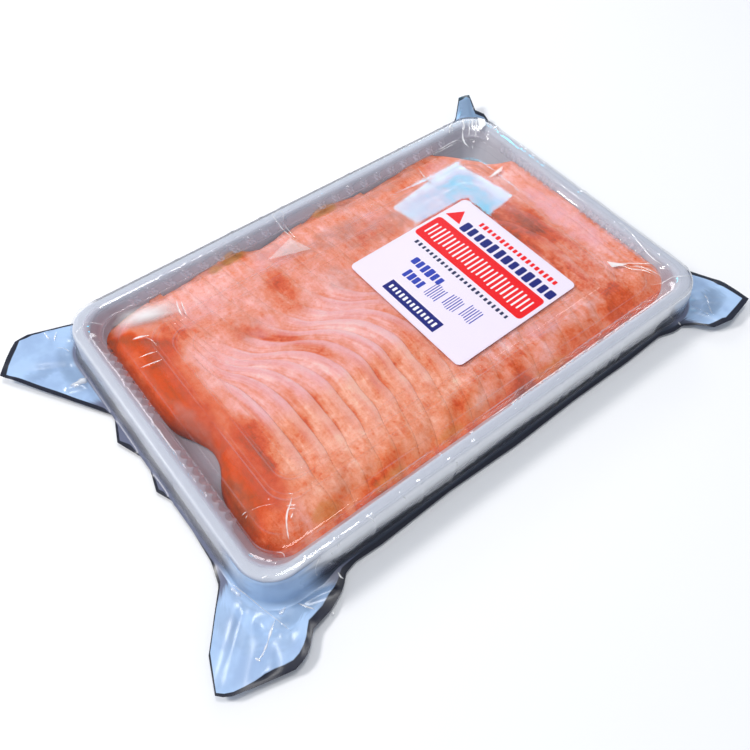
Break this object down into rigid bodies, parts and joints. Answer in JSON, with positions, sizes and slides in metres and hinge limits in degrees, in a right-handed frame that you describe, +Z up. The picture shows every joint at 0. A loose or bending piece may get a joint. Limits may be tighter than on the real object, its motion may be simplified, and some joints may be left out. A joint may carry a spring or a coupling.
{
  "type": "pack of frozen salmon slices",
  "caption": "Vacuum pack of smoked salmon slices: a white tray of shingled slices under a clear pressed lid and a square label, sealed in a clear pouch with an ear at each corner.",
  "frame": {"origin": "middle of the flat face under the pouch that the pack rests on, below the middle of the tray", "axes": "+X along the tray's long side, towards the end where the last slices lean; +Y along its short side; +Z up, out of the lid's panel"},
  "size_m": [0.3405, 0.2332, 0.0221],
  "materials": {
    "tray_plastic": "white moulded polystyrene, softly glossy",
    "lid_plastic": "clear pressed polystyrene sheet, glossy",
    "pouch_film": "clear nylon and polyethylene film, glossy and creased",
    "label_paper": "coated paper, satin",
    "salmon": "moist flesh, satin"
  },
  "bodies": {
    "root": {"tray": "tray_plastic", "lid": "lid_plastic", "label": "label_paper", "pouch_top": "pouch_film", "pouch_bottom": "pouch_film", "slice_01": "salmon", "slice_02": "salmon", "slice_03": "salmon", "slice_04": "salmon", "slice_05": "salmon", "slice_06": "salmon", "slice_07": "salmon", "slice_08": "salmon", "slice_09": "salmon", "slice_10": "salmon", "slice_11": "salmon", "slice_12": "salmon", "slice_13": "salmon", "slice_14": "salmon", "slice_15": "salmon", "slice_16": "salmon", "slice_17": "salmon", "slice_18": "salmon", "slice_19": "salmon", "slice_20": "salmon", "slice_21": "salmon"}
  },
  "joints": []
}
